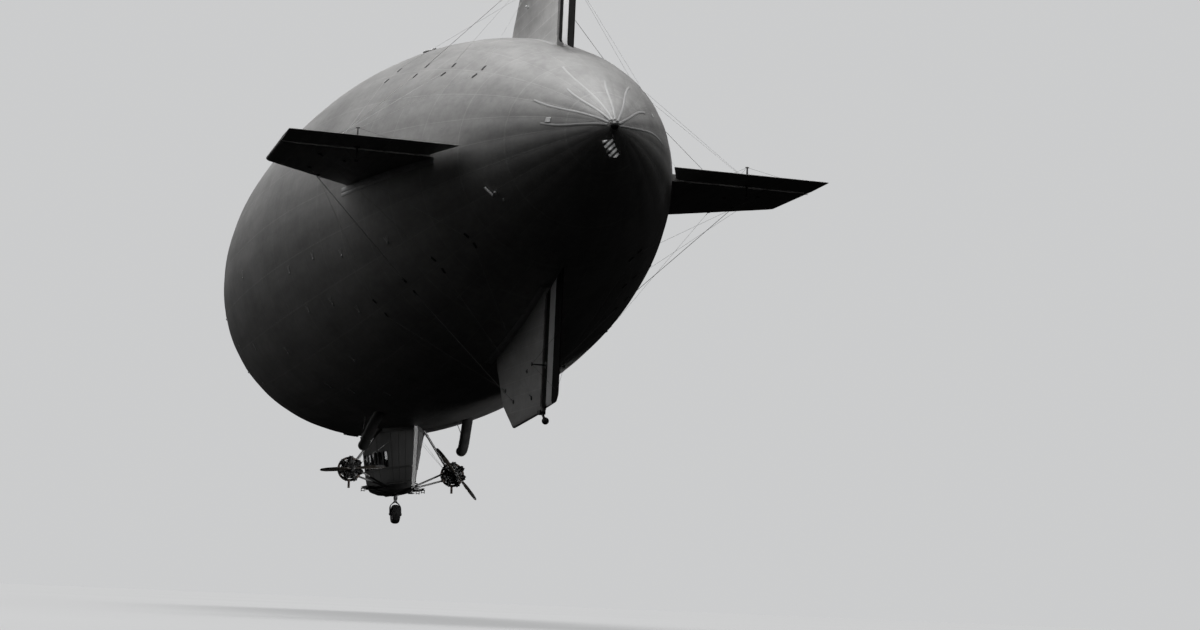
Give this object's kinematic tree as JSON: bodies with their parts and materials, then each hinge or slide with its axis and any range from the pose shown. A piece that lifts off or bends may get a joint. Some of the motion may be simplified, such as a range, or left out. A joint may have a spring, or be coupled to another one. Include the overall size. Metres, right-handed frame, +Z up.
{
  "type": "patrol airship, 1:2 scale model",
  "caption": "Non-rigid patrol airship at half size: fabric hull, finned tail with rudders and elevators, and a windowed car with outrigger engines and one landing wheel.",
  "frame": {"origin": "on the hull's axis at mid-length, where the lift of the gas acts", "axes": "+X forward along the hull, +Y to port, +Z up"},
  "size_m": [22.703, 7.55, 8.185],
  "materials": {
    "hull_fabric": "silver-grey doped cotton, satin",
    "fin_fabric": "silver-grey doped fabric over a tube frame",
    "rudder_fabric": "doped fabric with dark, white and dark upright bands",
    "nose_metal": "painted silver",
    "stern_metal": "black, satin",
    "car_skin": "silver paint, weathered",
    "floor_wood": "varnished plywood",
    "glass": "clear sheet",
    "seat_leather": "dark, worn",
    "panel_paint": "black crackle",
    "tube_paint": "grey enamel on steel tube",
    "wire_steel": "stranded wire",
    "engine_metal": "oily black and grey",
    "exhaust_steel": "heat-browned",
    "propeller_wood": "varnished, metal-tipped",
    "scoop_fabric": "dark dope over aluminium tube",
    "pennant_cloth": "cotton in light and dark stripes",
    "tyre_rubber": "black rubber",
    "hub_aluminium": "cast"
  },
  "bodies": {
    "airframe": {"envelope": "hull_fabric", "nose_cone": "nose_metal", "stern_cone": "stern_metal", "tail_bumper": "tube_paint", "car_tub": "car_skin", "car_cabin": "car_skin", "car_roof": "car_skin", "car_floor": "floor_wood", "car_fairing": "car_skin", "car_glazing": "glass", "cabin_bench": "seat_leather", "instrument_panel": "panel_paint", "landing_strut": "tube_paint", "gas_valve_port": "nose_metal", "gas_valve_starboard": "nose_metal", "air_valve_forward": "scoop_fabric", "fin_upper": "fin_fabric", "stay_upper_a": "wire_steel", "stay_upper_b": "wire_steel", "fin_port": "fin_fabric", "stay_port_a": "wire_steel", "stay_port_b": "wire_steel", "fin_starboard": "fin_fabric", "stay_starboard_a": "wire_steel", "stay_starboard_b": "wire_steel", "fin_lower": "fin_fabric", "stay_lower_a": "wire_steel", "stay_lower_b": "wire_steel", "pennant_staff": "tube_paint", "stern_pennant": "pennant_cloth", "pilot_seat_port": "seat_leather", "outrigger_port": "tube_paint", "nacelle_port": "car_skin", "engine_port": "engine_metal", "exhaust_port": "exhaust_steel", "air_scoop_port": "scoop_fabric", "store_rack_port": "tube_paint", "pilot_seat_starboard": "seat_leather", "outrigger_starboard": "tube_paint", "nacelle_starboard": "car_skin", "engine_starboard": "engine_metal", "exhaust_starboard": "exhaust_steel", "air_scoop_starboard": "scoop_fabric", "store_rack_starboard": "tube_paint"},
    "door": {"car_door": "car_skin"},
    "wheel_fork": {"wheel_fork": "tube_paint"},
    "wheel": {"tyre": "tyre_rubber", "wheel_hub": "hub_aluminium"},
    "propeller_port": {"propeller_port": "propeller_wood"},
    "propeller_starboard": {"propeller_starboard": "propeller_wood"},
    "rudder_upper": {"rudder_upper": "rudder_fabric"},
    "rudder_lower": {"rudder_lower": "rudder_fabric"},
    "elevator_port": {"elevator_port": "fin_fabric"},
    "elevator_starboard": {"elevator_starboard": "fin_fabric"}
  },
  "joints": [
    {"name": "door_hinge", "type": "hinge", "parent": "airframe", "child": "door", "pos_m": [1.994, -0.3518, -3.55], "axis": [0, -0.1772, 0.9842], "range_deg": [0, 100]},
    {"name": "fork_swivel", "type": "hinge", "parent": "airframe", "child": "wheel_fork", "pos_m": [1.51, 0, -4.25], "axis": [0, 0, 1], "continuous": true},
    {"name": "wheel_spin", "type": "hinge", "parent": "wheel_fork", "child": "wheel", "pos_m": [1.45, 0, -4.5], "axis": [0, 1, 0], "continuous": true},
    {"name": "propeller_port_spin", "type": "hinge", "parent": "airframe", "child": "propeller_port", "pos_m": [0.7875, 0.925, -3.765], "axis": [1, 0, 0], "continuous": true},
    {"name": "propeller_starboard_spin", "type": "hinge", "parent": "airframe", "child": "propeller_starboard", "pos_m": [0.7875, -0.925, -3.765], "axis": [1, 0, 0], "continuous": true},
    {"name": "rudder_upper_hinge", "type": "hinge", "parent": "airframe", "child": "rudder_upper", "pos_m": [-8.5, 0, 2.6], "axis": [0, 0, 1], "range_deg": [-25, 25]},
    {"name": "rudder_lower_hinge", "type": "hinge", "parent": "airframe", "child": "rudder_lower", "pos_m": [-8.5, 0, -2.6], "axis": [0, 0, 1], "range_deg": [-25, 25]},
    {"name": "elevator_port_hinge", "type": "hinge", "parent": "airframe", "child": "elevator_port", "pos_m": [-8.5, 2.75, 0], "axis": [0, 1, 0], "range_deg": [-25, 25]},
    {"name": "elevator_starboard_hinge", "type": "hinge", "parent": "airframe", "child": "elevator_starboard", "pos_m": [-8.5, -2.75, 0], "axis": [0, 1, 0], "range_deg": [-25, 25]}
  ],
  "couplings": [
    {"joint": "rudder_lower_hinge", "follows": "rudder_upper_hinge", "ratio": 1},
    {"joint": "elevator_starboard_hinge", "follows": "elevator_port_hinge", "ratio": 1}
  ]
}
